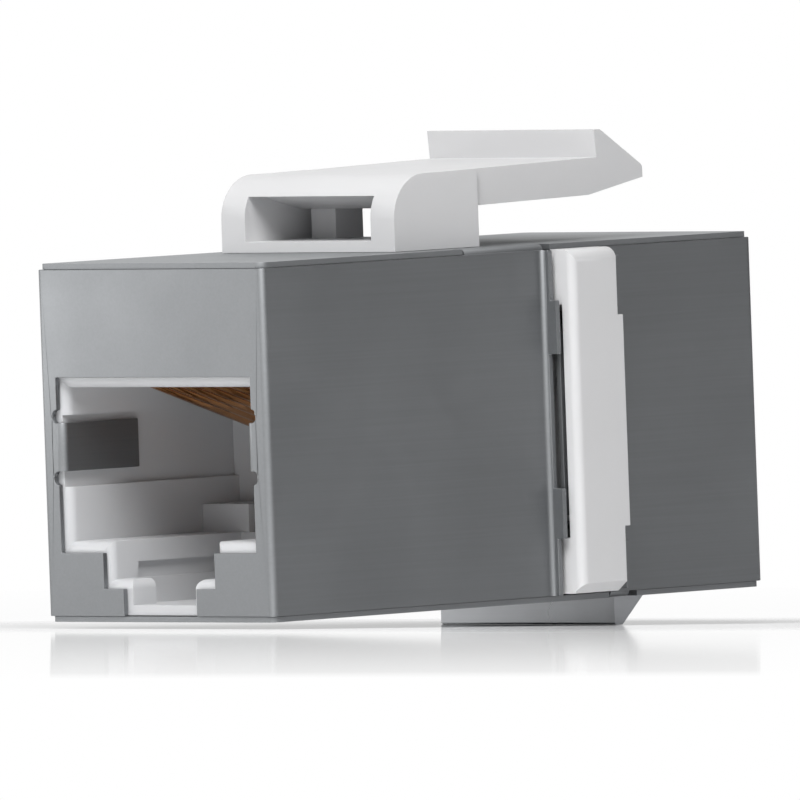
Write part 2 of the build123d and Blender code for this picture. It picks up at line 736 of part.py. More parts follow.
def latch_arm():
    """The sprung arm with its wedge; the round root stands for the flexing section."""
    wedge_top = WEDGE_FRONT - WEDGE_LEAN
    points = [
        (BLOCK_REAR, ROOT_HEIGHT), (ARM_START, ARM_UNDER_ROOT), (ARM_BEND_Y, ARM_UNDER_BEND),
        (ARM_TIP_Y, ARM_TIP_UNDER), (ARM_TIP_Y, ARM_TIP_UPPER),
        (wedge_top + WEDGE_LAND, WEDGE_TOP), (wedge_top, WEDGE_TOP), (WEDGE_FRONT, WEDGE_ROOT),
        (BLOCK_REAR, ROOT_TOP),
    ]
    points = [(y, PLATE_TOP + height) for y, height in points]
    radii = [0, 0, 0, ARM_TIP_EDGE, ARM_TIP_ROUND, WEDGE_EDGE, 0, 0, 0]
    arm = along_x(points, -ARM_HALF, ARM_HALF, radii)
    plane = Plane((-ARM_HALF, BLOCK_REAR, ROOT_Z), x_dir=(0, 1, 0), z_dir=(1, 0, 0))
    return arm + extrude(plane * Circle(ROOT_RADIUS), 2 * ARM_HALF)


def all_pieces():
    """Every piece by its node name."""
    housing = jack_housing()
    carrier = contact_carrier()
    pieces = {
        "near_shell": near_shell(),
        "far_shell": far_shell(),
        "top_plate": top_plate(),
        "bottom_plate": bottom_plate(),
        "bottom_hook": bottom_hook(),
        "clip_frame": clip_frame(),
        "latch_arm": latch_arm(),
        "near_jack_housing": at_near_end(housing),
        "far_jack_housing": at_far_end(housing),
        "near_contact_carrier": at_near_end(carrier),
        "far_contact_carrier": at_far_end(carrier),
        "circuit_board": at_near_end(circuit_board()),
    }
    for index in range(CONTACT_COUNT):
        wire = contact_wire(index)
        pieces[f"near_contact_{index + 1}"] = at_near_end(wire)
        pieces[f"far_contact_{index + 1}"] = at_far_end(wire)
    return pieces


os.makedirs("parts", exist_ok=True)
for node, piece in all_pieces().items():
    export_step(TO_FRAME * piece, f"parts/{node}.step")
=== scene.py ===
# %% [markdown]
# # A keystone coupler
# This lesson dresses the imported model of a small network coupler: a folded metal box with a
# socket at each end, and a white moulded clip that holds it in a panel. The imported model
# gives the sizes and the moving parts. Here the sheet metal gets its brushed finish, and the
# clip is made again as a soft-edged moulding.

# %% Load the imported model
import math

import bmesh
import bpy
import numpy as np
from mathutils import Matrix, Vector


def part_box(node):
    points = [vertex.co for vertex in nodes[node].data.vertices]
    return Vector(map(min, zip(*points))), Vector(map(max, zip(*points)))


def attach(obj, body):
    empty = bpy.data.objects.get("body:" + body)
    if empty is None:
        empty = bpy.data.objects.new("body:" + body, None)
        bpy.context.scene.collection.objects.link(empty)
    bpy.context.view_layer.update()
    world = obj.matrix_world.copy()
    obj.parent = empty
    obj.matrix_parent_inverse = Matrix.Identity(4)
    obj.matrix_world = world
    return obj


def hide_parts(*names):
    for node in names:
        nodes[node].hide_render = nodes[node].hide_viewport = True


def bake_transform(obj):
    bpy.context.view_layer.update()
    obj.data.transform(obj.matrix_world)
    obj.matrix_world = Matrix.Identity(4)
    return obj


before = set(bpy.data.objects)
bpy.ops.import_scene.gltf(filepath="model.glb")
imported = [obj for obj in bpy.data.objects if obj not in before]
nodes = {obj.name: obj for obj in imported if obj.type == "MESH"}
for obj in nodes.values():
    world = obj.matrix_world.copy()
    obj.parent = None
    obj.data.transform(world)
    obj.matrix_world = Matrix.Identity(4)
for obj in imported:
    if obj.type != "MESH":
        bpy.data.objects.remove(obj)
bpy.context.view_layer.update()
MM = 0.001

# %% [markdown]
# ## Where things are
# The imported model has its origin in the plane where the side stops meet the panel. Sizes of
# the clip are easier to follow when they are counted from the near face and from the top
# plate, so one small function turns such a place into the model's own axes. The wires and
# the side stops count their heights from the shell's lower edge.

# %% Sizes of the body and the clip, in millimetres
near_low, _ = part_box("near_shell")
_, far_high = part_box("far_shell")
_, plate_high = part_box("top_plate")
_, clip_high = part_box("clip_frame")
NEAR_FACE = near_low[1] / MM
FAR_FACE = far_high[1] / MM
PLATE_TOP = plate_high[2] / MM
HALF_STOPS = clip_high[0] / MM
BODY_HEIGHT = 15.95
SHELL_BASE = PLATE_TOP - BODY_HEIGHT
print("near face at", round(NEAR_FACE, 2), "top plate at", round(PLATE_TOP, 2))


def clip_point(y, height):
    """A profile point: y counted from the near face, height counted from the top plate."""
    return (NEAR_FACE + y, PLATE_TOP + height)


# %% [markdown]
# ## Small helpers
# A prism is a closed profile carried along one axis. Most of a moulding is prisms that are
# joined and cut, so one function builds them all from a short list of corner points. Faces
# must point outwards, or a Boolean would cut on the wrong side.

# %% Mesh from arrays
def mesh_piece(name, vertices_mm, faces):
    """An object at the origin from vertices in millimetres and a list of faces."""
    mesh = bpy.data.meshes.new(name)
    mesh.from_pydata((np.asarray(vertices_mm) * MM).tolist(), [], faces)
    mesh.update()
    piece = bpy.data.objects.new(name, mesh)
    bpy.context.scene.collection.objects.link(piece)
    return piece


def prism(name, profile, low, high, axis):
    """The profile is repeated at low and high along the axis, with a face for each side.

    axis 0 takes (y, z) points, axis 1 takes (x, z) points and axis 2 takes (x, y) points.
    """
    flat = np.asarray(profile, float)
    ends = [np.insert(flat, axis, level, axis=1) for level in (low, high)]
    count = len(flat)
    first = np.arange(count)
    second = np.roll(first, -1)
    sides = np.stack([first, second, second + count, first + count], axis=1).tolist()
    faces = sides + [first[::-1].tolist(), (first + count).tolist()]
    piece = mesh_piece(name, np.concatenate(ends), faces)
    face_outwards(piece)
    return piece


def face_outwards(piece):
    """Turns all faces of a closed mesh outwards."""
    work = bmesh.new()
    work.from_mesh(piece.data)
    bmesh.ops.recalc_face_normals(work, faces=work.faces)
    work.to_mesh(piece.data)
    work.free()


def rectangle(across_0, across_1, up_0, up_1):
    """The four corners between two values each way, in order round the rectangle."""
    return [(across_0, up_0), (across_1, up_0), (across_1, up_1), (across_0, up_1)]


def block(name, x_limits, y_limits, z_limits):
    """A prism on a rectangle, in clip sizes: y from the near face, z from the top plate."""
    y0, z0 = clip_point(y_limits[0], z_limits[0])
    y1, z1 = clip_point(y_limits[1], z_limits[1])
    return prism(name, rectangle(y0, y1, z0, z1), *x_limits, axis=0)


print("a block at the near face starts at", [round(v, 2) for v in clip_point(0, 0)])

# %% [markdown]
# ## Join, cut and soften
# Exact Booleans keep flat walls flat, which suits a moulding better than sculpting. A Bevel
# then rounds every edge, because a mould never leaves a knife edge, and weighted normals keep
# the flat walls evenly shaded beside the small rounds.

# %% Joining, cutting and softening
SAME_POINT_MM = 0.0005
SOFT_ANGLE = 25


def apply_modifiers(piece):
    """Replaces the piece's mesh by the result of its modifiers."""
    graph = bpy.context.evaluated_depsgraph_get()
    result = bpy.data.meshes.new_from_object(piece.evaluated_get(graph))
    piece.modifiers.clear()
    piece.data = result


def combine(piece, tools, operation):
    """Joins tools to the piece or cuts them from it, and removes the tools."""
    for tool in tools:
        step = piece.modifiers.new("combine", "BOOLEAN")
        step.operation = operation
        step.solver = "EXACT"
        step.object = tool
        apply_modifiers(piece)
        bpy.data.objects.remove(tool)


def soften(piece, radius_mm, segments=3):
    """Merges stray points, then rounds every edge sharper than the soft angle."""
    work = bmesh.new()
    work.from_mesh(piece.data)
    bmesh.ops.remove_doubles(work, verts=work.verts, dist=SAME_POINT_MM * MM)
    bmesh.ops.dissolve_degenerate(work, dist=SAME_POINT_MM * MM, edges=work.edges)
    work.to_mesh(piece.data)
    work.free()
    bevel = piece.modifiers.new("soft edges", "BEVEL")
    bevel.width = radius_mm * MM
    bevel.segments = segments
    bevel.limit_method = "ANGLE"
    bevel.angle_limit = math.radians(SOFT_ANGLE)
    bevel.miter_outer = "MITER_ARC"
    apply_modifiers(piece)
    smooth = piece.modifiers.new("even shading", "WEIGHTED_NORMAL")
    smooth.keep_sharp = True
    piece.data.polygons.foreach_set("use_smooth", np.ones(len(piece.data.polygons), bool))
    print(piece.name, "faces", len(piece.data.polygons))


print("rounded are all edges sharper than", SOFT_ANGLE, "degrees")

# %% [markdown]
# ## Latch block and arm
# On the real coupler the hollow block and the sprung arm are one moulding. The arm bends at
# its root when a finger presses the wedge down. The block's outline and the arm's outline are
# joined into one closed surface without a seam, and points are placed every half millimetre
# along the arm.

# %% Arcs, runs and rounded corners
ARM_STEP = 0.5
CORNER_POINTS = 7


def arc(centre, radius, start_deg, end_deg, count=12):
    """Points on a circle: the centre plus the radius times cosine and sine of the angle."""
    angles = np.radians(np.linspace(start_deg, end_deg, count))
    across = centre[0] + radius * np.cos(angles)
    up = centre[1] + radius * np.sin(angles)
    return np.column_stack([across, up])


def run(start, end):
    """Evenly spaced points from start to end, with both ends and about one step between."""
    count = max(2, int(abs(end[0] - start[0]) / ARM_STEP) + 1)
    return np.linspace(start, end, count)


def rounded(profile, radii):
    """Each corner of the profile is replaced by an arc that touches both of its sides.

    The arc's points are weighted by sines, which spaces them evenly round the corner.
    """
    points = np.asarray(profile, float)
    neighbours = np.roll(points, 1, 0), np.roll(points, -1, 0)
    result = []
    for corner, before, after, radius in zip(points, *neighbours, radii):
        if radius == 0:
            result.append(corner[None])
            continue
        back = (before - corner) / np.linalg.norm(before - corner)
        ahead = (after - corner) / np.linalg.norm(after - corner)
        half = math.acos(np.clip(back @ ahead, -1, 1)) / 2
        inward = (back + ahead) / np.linalg.norm(back + ahead)
        centre = corner + inward * radius / math.sin(half)
        start = corner + back * radius / math.tan(half) - centre
        end = corner + ahead * radius / math.tan(half) - centre
        share = np.linspace(0, 1, CORNER_POINTS)[:, None]
        spread = math.pi - 2 * half
        weights = np.sin((1 - share) * spread), np.sin(share * spread)
        result.append(centre + (start * weights[0] + end * weights[1]) / math.sin(spread))
    return np.concatenate(result)


print("a rounded triangle has", len(rounded([(0, 0), (4, 0), (0, 3)], [1, 1, 1])), "points")

# %% [markdown]
# ### The two outlines
# Points are (y, z): y from the near face, z from the top plate. The block has a large round at
# its front and lifts a hair off the plate. The arm runs back from it, rises into the wedge,
# and returns along its underside to a small hollow round at the root.

# %% Outline of the block and the arm
BLOCK_FRONT, BLOCK_REAR = 10.2, 15.6
BLOCK_LIFT = 0.02
FRONT_ROUND, FRONT_ROUND_CENTRE = 2.0, (12.2, 1.5)
ARM_START = 14.9
WEDGE_TOP, WEDGE_TIP, WEDGE_ROUND = 4.98, 26.43, 0.3
ROOT_ROUND, ROOT_ROUND_CENTRE = 0.32, (15.95, 2.2)

front_round = arc(FRONT_ROUND_CENTRE, FRONT_ROUND, 180, 90)
block_roof = run((13.0, 3.5), (BLOCK_REAR, 3.55))
foot_front, foot_rear = (BLOCK_FRONT, BLOCK_LIFT), (BLOCK_REAR, BLOCK_LIFT)
block_outline = np.concatenate([[foot_front], front_round, block_roof, [foot_rear]])

arm_top = run((ARM_START, 3.53), (23.5, 3.72))
wedge_corners = [(23.38, WEDGE_TOP), (23.78, WEDGE_TOP), (WEDGE_TIP, 3.24), (WEDGE_TIP, 2.7)]
wedge = rounded(wedge_corners, [0, 0, WEDGE_ROUND, 0])
wedge_underside = run((25.9, 2.6), (22.92, 2.03))
arm_underside = run((22.5, 2.02), (16.3, 1.89))
root = arc(ROOT_ROUND_CENTRE, ROOT_ROUND, -90, -180, 5)
inside_block = [(ARM_START, 2.3)]
arm_outline = np.concatenate([
    arm_top, wedge, wedge_underside, arm_underside, root, inside_block,
])
print("outline points", len(block_outline) + len(arm_outline))

# %% [markdown]
# ### One moulding from two outlines
# The block is hollow so that it can give a little and so that no wall is thick enough to sink
# as it cools. Its window and the gaps in its rear wall are cut first, and the arm is joined
# last.

# %% Build the block, cut its hollows and add the arm
BLOCK_HALF, ARM_HALF = 5.55, 5.35
HOLLOW_HALF, HOLLOW_FLOOR = 4.04, 0.5
WINDOW_FRONT, WINDOW_SLOPE_START, WINDOW_BACK = 9.8, 11.2, 13.85
WINDOW_TOP, GAP_TOP = 2.55, 1.85
GAP_DEPTH = (13.6, 16.2)
POST_INNER, POST_OUTER = 1.87, 3.42
SOFT_ROUND = 0.12

clip_origin = np.array([NEAR_FACE, PLATE_TOP])
clip_upper = prism("clip_block_and_arm", block_outline + clip_origin, -BLOCK_HALF, BLOCK_HALF, 0)
window_profile = np.array([
    (WINDOW_FRONT, HOLLOW_FLOOR), (WINDOW_FRONT, WINDOW_TOP), (WINDOW_SLOPE_START, WINDOW_TOP),
    (WINDOW_BACK, GAP_TOP), (WINDOW_BACK, HOLLOW_FLOOR),
])
hollows = [
    prism("window", window_profile + clip_origin, -HOLLOW_HALF, HOLLOW_HALF, 0),
    block("gap_centre", (-POST_INNER, POST_INNER), GAP_DEPTH, (HOLLOW_FLOOR, GAP_TOP)),
    block("gap_right", (POST_OUTER, HOLLOW_HALF), GAP_DEPTH, (HOLLOW_FLOOR, GAP_TOP)),
    block("gap_left", (-HOLLOW_HALF, -POST_OUTER), GAP_DEPTH, (HOLLOW_FLOOR, GAP_TOP)),
]
combine(clip_upper, hollows, "DIFFERENCE")
arm = prism("arm", arm_outline + clip_origin, -ARM_HALF, ARM_HALF, 0)
combine(clip_upper, [arm], "UNION")
soften(clip_upper, SOFT_ROUND)
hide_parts("latch_arm", "clip_frame")
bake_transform(clip_upper)

# %% [markdown]
# ## Side stops
# The two stops are bars that stand beside the body and rest against the panel. Their front
# and top edges are well rounded and a long pocket in the front takes the metal tongue. They
# are joined to the block by bars that run inside the body.

# %% One side stop
SHELL_LOW = SHELL_BASE - PLATE_TOP
STOP_INNER = 7.29
STOP_FRONT, STOP_REAR, PAD_REAR = 18.35, 21.22, 21.52
STOP_FOOT, STOP_HEAD = 0.09, 0.25
FRONT_EDGE_ROUND, REAR_EDGE_ROUND = 0.4, 0.05
LOW_CORNER_ROUND, TOP_CORNER_ROUND = 0.1, 0.62
LOW_CHAMFER = (0.6, 0.45)
PAD_LIMITS, POCKET_LIMITS = (3.04, 12.61), (2.62, 13.2)
PAD_ROOT = 0.5
POCKET_WIDTH, POCKET_DEPTH = 0.65, 1.9
BEYOND = 1


def stop_outline(low, high):
    """The bar seen from the near end: a chamfer at its foot and a large round at its head."""
    inner, outer = STOP_INNER - BEYOND, HALF_STOPS
    corners = [
        (inner, low), (outer - LOW_CHAMFER[0], low), (outer, low + LOW_CHAMFER[1]),
        (outer, high), (inner, high),
    ]
    return rounded(corners, [0, LOW_CORNER_ROUND, LOW_CORNER_ROUND, TOP_CORNER_ROUND, 0])


def side_stop(side):
    """One stop: a rounded bar with a front pocket and a raised pad on its rear."""
    inner, outer = STOP_INNER, HALF_STOPS
    front, rear, pad = NEAR_FACE + STOP_FRONT, NEAR_FACE + STOP_REAR, NEAR_FACE + PAD_REAR
    low, high = SHELL_BASE + STOP_FOOT, PLATE_TOP - STOP_HEAD
    pad_heights, pocket_heights = SHELL_BASE + np.array([PAD_LIMITS, POCKET_LIMITS])
    edges = [0, FRONT_EDGE_ROUND, REAR_EDGE_ROUND, 0]
    bar = prism("bar", rounded(rectangle(inner, outer, front, rear), edges), low, high, 2)
    over = prism("over", stop_outline(low, high), front - BEYOND, rear + BEYOND, 1)
    combine(bar, [over], "INTERSECT")
    pad_plan = rectangle(inner, outer, rear - PAD_ROOT, pad)
    combine(bar, [prism("pad", pad_plan, *pad_heights, 2)], "UNION")
    pocket = rectangle(
        inner - BEYOND, inner + POCKET_WIDTH, front - BEYOND, front + POCKET_DEPTH,
    )
    combine(bar, [prism("pocket", pocket, *pocket_heights, 2)], "DIFFERENCE")
    if side < 0:
        bar.data.transform(Matrix.Diagonal((-1, 1, 1, 1)))
        face_outwards(bar)
    return bar


print("a stop is", round(HALF_STOPS - STOP_INNER, 2), "mm wide")

# %% [markdown]
# ### The bars inside the body
# The other stop is the same one mirrored. Two bars, a web and a neck tie the stops to the
# block. The sheet metal hides them, apart from what shows through the small gaps.

# %% Side stops and the bars between them
BAR_HALF, WEB_HALF, NECK_HALF = 7.6, 6.4, 5.0
BAR_DEPTH = (18.75, STOP_REAR)
WEB_DEPTH, NECK_DEPTH = (10.5, 21.2), (10.7, 15.1)
UNDER_PLATE, NECK_HEIGHTS = (-1.35, -0.3), (-0.8, 0.1)
OVER_FLOOR = (SHELL_LOW + 0.2, SHELL_LOW + 1.0)
STOP_ROUND = 0.05

stops = side_stop(1)
stops.name = "clip_side_stops"
bars = [
    side_stop(-1),
    block("top_bar", (-BAR_HALF, BAR_HALF), BAR_DEPTH, UNDER_PLATE),
    block("low_bar", (-BAR_HALF, BAR_HALF), BAR_DEPTH, OVER_FLOOR),
    block("web", (-WEB_HALF, WEB_HALF), WEB_DEPTH, UNDER_PLATE),
    block("neck", (-NECK_HALF, NECK_HALF), NECK_DEPTH, NECK_HEIGHTS),
]
combine(stops, bars, "UNION")
soften(stops, STOP_ROUND, segments=2)
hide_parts("clip_frame")
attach(stops, "body")

# %% [markdown]
# ## Contact wires
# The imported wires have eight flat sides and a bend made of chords. Here each wire is a round
# tube along a smooth path: up the slope from the free end, round the hairpin, over the
# carrier and into the circuit board. Every second wire drops to the lower row of holes.

# %% Path and tube of one wire
WIRE_RADIUS, WIRE_SIDES = 0.225, 12
WIRE_SLOPE = 18.5
HAIRPIN, HAIRPIN_RADIUS = (3.27, 11.2), 0.7
FREE_END, TAIL_END = 10.3, 17.0
DROP_START, DROP_END = 12.2, 14.7
BEND_POINTS, DROP_POINTS = 16, 14


def wire_path(drop):
    """Y from the end face and height from the shell's lower edge, along one wire.

    The drop follows half a cosine wave between its start and its end.
    """
    bend = arc(HAIRPIN, HAIRPIN_RADIUS, 270 - WIRE_SLOPE, 90, BEND_POINTS)
    fall = (FREE_END - bend[0, 0]) * math.tan(math.radians(WIRE_SLOPE))
    y = np.linspace(DROP_START, DROP_END, DROP_POINTS)
    wave = (1 - np.cos(np.pi * (y - DROP_START) / (DROP_END - DROP_START))) / 2
    tail = np.column_stack([y, bend[-1, 1] - drop * wave])
    free = [(FREE_END, bend[0, 1] - fall)]
    return np.concatenate([free, bend, tail, [(TAIL_END, tail[-1, 1])]])


def tubes(name, x_places, paths):
    """Round tubes, one for each path.

    Each path point gets a ring: the radius times the angle's cosine along X, and times its
    sine along the path's own normal.
    """
    sides = WIRE_SIDES
    angles = np.linspace(0, 2 * np.pi, sides, endpoint=False)
    vertices, faces = [], []
    for x, path in zip(x_places, paths):
        along = np.gradient(path, axis=0)
        along /= np.linalg.norm(along, axis=1)[:, None]
        normal = np.column_stack([-along[:, 1], along[:, 0]])
        ring = np.stack([
            np.broadcast_to(x + WIRE_RADIUS * np.cos(angles), (len(path), sides)),
            path[:, :1] + WIRE_RADIUS * normal[:, :1] * np.sin(angles),
            path[:, 1:] + WIRE_RADIUS * normal[:, 1:] * np.sin(angles),
        ], axis=-1)
        first = len(vertices) * len(path) * sides
        number = first + np.arange(len(path) * sides).reshape(len(path), sides)
        ahead, beside = number[1:], np.roll(number, -1, axis=1)
        quads = np.stack([number[:-1], beside[:-1], beside[1:], ahead], axis=-1).reshape(-1, 4)
        faces += quads.tolist() + [number[0].tolist(), number[-1].tolist()]
        vertices.append(ring.reshape(-1, 3))
    piece = mesh_piece(name, np.concatenate(vertices), faces)
    face_outwards(piece)
    piece.data.polygons.foreach_set("use_smooth", np.array([len(face) == 4 for face in faces]))
    return piece


steps = np.linalg.norm(np.diff(wire_path(0), axis=0), axis=1)
print("an upper wire is", round(steps.sum(), 1), "mm long")

# %% [markdown]
# ### Two rows of eight
# The far socket is the near one turned half round, so its wires use the same paths with the
# depth counted the other way.

# %% Both rows of wires
WIRES, WIRE_PITCH, TAIL_DROP = 8, 1.016, 1.5
wire_x = (np.arange(WIRES) - (WIRES - 1) / 2) * WIRE_PITCH
wire_paths = [wire_path(TAIL_DROP * (index % 2)) for index in range(WIRES)]
contact_rows = []
for end, face_y, turn in (("near", NEAR_FACE, 1), ("far", FAR_FACE, -1)):
    shifted = [(path * (turn, 1)) + (face_y, SHELL_BASE) for path in wire_paths]
    row = tubes(f"{end}_contact_wires", wire_x * turn, shifted)
    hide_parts(*[f"{end}_contact_{index}" for index in range(1, WIRES + 1)])
    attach(row, "body")
    contact_rows.append(row)
print("wires", WIRES * len(contact_rows), "faces in a row", len(row.data.polygons))

# %% [markdown]
# ## Materials
# Colours are written as the hex values a paint program shows and turned to linear light by
# one function. Patterns use Object coordinates, which are metres, so one wave to the
# millimetre is a scale of one thousand. One small function adds any node of a material.

# %% Material helpers
PER_MM = 1000.0
BUMP_DEPTH = 0.01 * MM
# A Mix node's sockets for colours share their names with those for numbers.
COLOUR_A, COLOUR_B, MIXED_COLOUR = 6, 7, 2


def linear(hex_colour):
    """sRGB hex to linear: below 0.04045 divide by 12.92, above it use the power curve."""
    values = np.array([int(hex_colour[i:i + 2], 16) / 255 for i in (1, 3, 5)])
    low, high = values / 12.92, ((values + 0.055) / 1.055) ** 2.4
    return (*np.where(values <= 0.04045, low, high).tolist(), 1.0)


def new_material(name):
    """An empty node material with a Principled shader wired to its output."""
    material = bpy.data.materials.new(name)
    material.use_nodes = True
    return material, material.node_tree, material.node_tree.nodes["Principled BSDF"]


def link(tree, node, sources):
    """Links each source to the node's input of that name or number."""
    for key, source in sources.items():
        tree.links.new(source, node.inputs[key])


def add(tree, kind, settings=None, sources=None):
    """Adds a node, sets its inputs or properties, and links its inputs."""
    node = tree.nodes.new(kind)
    for key, value in (settings or {}).items():
        if isinstance(key, int) or key in node.inputs:
            node.inputs[key].default_value = value
        else:
            setattr(node, key, value)
    link(tree, node, sources or {})
    return node


def limits(start, end, first, last):
    """Settings for a value that runs from first to last as its input goes from start to end."""
    return {"From Min": start, "From Max": end, "To Min": first, "To Max": last}


def shades(hex_colour, shares):
    """Settings for a mix between the colour times each share, with no part above one."""
    parts = np.array(linear(hex_colour)[:3])
    dark, light = ((*np.minimum(1.0, share * parts).tolist(), 1.0) for share in shares)
    return {"data_type": "RGBA", COLOUR_A: dark, COLOUR_B: light}


print("middle grey in linear light", round(linear("#808080")[0], 3))

# %% [markdown]
# ### Brushed nickel-plated sheet
# The body is thin nickel-plated steel. Rolling and brushing leave hair-fine lines, so the
# noise is stretched seventy-five times along one direction. The lines are about 0.05 mm apart
# on the real sheet and are drawn a little coarser, or they would vanish between pixels.

# %% Sheet metal
# Nine lines to the millimetre, each about 8 mm long, and clouds about 5 mm wide.
LINES_ACROSS, LINES_ALONG = 9 * PER_MM, 0.12 * PER_MM
METAL_CLOUDS = 0.18 * PER_MM
METAL_SHADES, METAL_BUMP = (0.94, 1.05), 0.06
CLOUD_RANGE, METAL_SPREAD = (0.3, 0.7), 0.05


def sheet_metal(name, colour, roughness, direction):
    """Metal with fine lines along one axis, faint clouds and a faint line bump."""
    material, tree, shader = new_material(name)
    shader.inputs["Metallic"].default_value = 1.0
    place = {"Vector": add(tree, "ShaderNodeTexCoord").outputs["Object"]}
    stretch = [LINES_ACROSS] * 3
    stretch[direction] = LINES_ALONG
    stretched = add(tree, "ShaderNodeMapping", {"Scale": stretch}, place).outputs["Vector"]
    fine = add(tree, "ShaderNodeTexNoise", {"Scale": 1.0, "Detail": 2.0}, {"Vector": stretched})
    wide = add(tree, "ShaderNodeTexNoise", {"Scale": METAL_CLOUDS, "Detail": 3.0}, place)
    lines, clouds = fine.outputs["Fac"], wide.outputs["Fac"]
    tint = add(tree, "ShaderNodeMix", shades(colour, METAL_SHADES), {"Factor": lines})
    spread = limits(*CLOUD_RANGE, roughness - METAL_SPREAD, roughness + METAL_SPREAD)
    rough = add(tree, "ShaderNodeMapRange", spread, {"Value": clouds})
    faint = {"Strength": METAL_BUMP, "Distance": BUMP_DEPTH}
    relief = add(tree, "ShaderNodeBump", faint, {"Height": lines})
    link(tree, shader, {
        "Base Color": tint.outputs[MIXED_COLOUR],
        "Roughness": rough.outputs["Result"],
        "Normal": relief.outputs["Normal"],
    })
    return material


# Brushed after folding: a soft grey sheen that streaks along the body.
shell_metal = sheet_metal("nickel_plated_steel_brushed", "#8A8C8E", 0.5, 1)
# Rolled only: the same streaks under a duller, wider sheen.
plate_metal = sheet_metal("nickel_plated_steel_rolled", "#8E9092", 0.6, 1)
# Pressed smooth, so it mirrors the floor in front of it. Its colour is painted brighter than the
# other sheet as painted light, to lift the shade it stands in under the body.
hook_metal_painted_bright = sheet_metal("nickel_plated_steel_painted_bright", "#C6C8CB", 0.26, 0)
print("sheet finishes", shell_metal.name, plate_metal.name, hook_metal_painted_bright.name)

# %% [markdown]
# ### White moulded plastic
# The clip is white ABS and the socket housings are white PBT, both from a fine spark-eroded
# mould. The skin is satin: a broad soft highlight, a hint of light carried under the surface,
# and a grain of about 0.1 mm that only shows as a slight break-up of the highlight.

# %% White plastic
MOULD_GRAIN_MM = 0.12
# Uneven whiteness in patches about 4 mm wide.
PLASTIC_CLOUDS = 0.26 * PER_MM
PLASTIC_SHADES, PLASTIC_BUMP = (0.97, 1.02), 0.15
SMOOTHER, ROUGHER = 0.04, 0.06
# Red light goes a little further under the skin than green and blue.
LIGHT_UNDER_SKIN, SKIN_DEPTH_MM, COLOUR_REACH = 0.12, 0.5, (1.0, 0.95, 0.9)
PLASTIC_IOR = 1.53


def moulded_plastic(name, colour, roughness):
    """Satin plastic with fine grain and very faint uneven whiteness."""
    material, tree, shader = new_material(name)
    shader.inputs["Subsurface Weight"].default_value = LIGHT_UNDER_SKIN
    shader.inputs["Subsurface Radius"].default_value = COLOUR_REACH
    shader.inputs["Subsurface Scale"].default_value = SKIN_DEPTH_MM * MM
    shader.inputs["IOR"].default_value = PLASTIC_IOR
    place = {"Vector": add(tree, "ShaderNodeTexCoord").outputs["Object"]}
    fine = {"Scale": PER_MM / MOULD_GRAIN_MM, "Detail": 2.0}
    grain = add(tree, "ShaderNodeTexNoise", fine, place).outputs["Fac"]
    wide = {"Scale": PLASTIC_CLOUDS, "Detail": 2.0}
    clouds = add(tree, "ShaderNodeTexNoise", wide, place).outputs["Fac"]
    tint = add(tree, "ShaderNodeMix", shades(colour, PLASTIC_SHADES), {"Factor": clouds})
    spread = limits(0.0, 1.0, roughness - SMOOTHER, roughness + ROUGHER)
    rough = add(tree, "ShaderNodeMapRange", spread, {"Value": grain})
    faint = {"Strength": PLASTIC_BUMP, "Distance": BUMP_DEPTH}
    relief = add(tree, "ShaderNodeBump", faint, {"Height": grain})
    link(tree, shader, {
        "Base Color": tint.outputs[MIXED_COLOUR],
        "Roughness": rough.outputs["Result"],
        "Normal": relief.outputs["Normal"],
    })
    return material


# ABS from a satin mould: a broad, soft highlight on every round.
clip_white = moulded_plastic("abs_white_satin", "#D2D2D3", 0.45)
# PBT stands the heat of soldering and is a little glossier. Its white is painted a little greyer
# than the clip's as painted shade, so the shaded inside of the socket reads darker.
housing_white_painted_shade = moulded_plastic("pbt_white_painted_shade", "#C6C7C9", 0.33)
# Black PBT: it gives the eye only a dull gleam deep in the socket.
carrier_dark = moulded_plastic("pbt_black_moulded", "#2C2C2E", 0.45)
print("plastics", clip_white.name, housing_white_painted_shade.name, carrier_dark.name)

# %% [markdown]
# ### Plated wire and board
# The contacts are bronze wire under a thin layer of gold, which reflects a warm brown inside
# a dim socket. The board is green mask over fibreglass and shows only through small gaps.

# %% Gold-plated wire and circuit board
PLAIN_SHADES = (0.85, 1.1)


def plain_finish(name, colour, metallic, roughness, grain_mm):
    """A finish with its colour varied a little by fine noise."""
    material, tree, shader = new_material(name)
    shader.inputs["Metallic"].default_value = metallic
    shader.inputs["Roughness"].default_value = roughness
    place = {"Vector": add(tree, "ShaderNodeTexCoord").outputs["Object"]}
    fine = {"Scale": PER_MM / grain_mm, "Detail": 2.0}
    grain = add(tree, "ShaderNodeTexNoise", fine, place).outputs["Fac"]
    tint = add(tree, "ShaderNodeMix", shades(colour, PLAIN_SHADES), {"Factor": grain})
    link(tree, shader, {"Base Color": tint.outputs[MIXED_COLOUR]})
    return material


# Thin gold on bronze: warm brown in shadow, orange where it catches light.
contact_gold = plain_finish("gold_plated_bronze_wire", "#DE9C60", 1.0, 0.1, 0.6)
# Solder mask: a smooth dark green skin.
board_green = plain_finish("fibreglass_board_green_mask", "#1F5A38", 0.0, 0.35, 0.4)
print("finishes", contact_gold.name, board_green.name)

# %% [markdown]
# ### Which piece gets which finish
# Sheets, mouldings and wires each share one finish. A node that isn't listed is a contact wire
# if its name says so, and otherwise clip plastic.

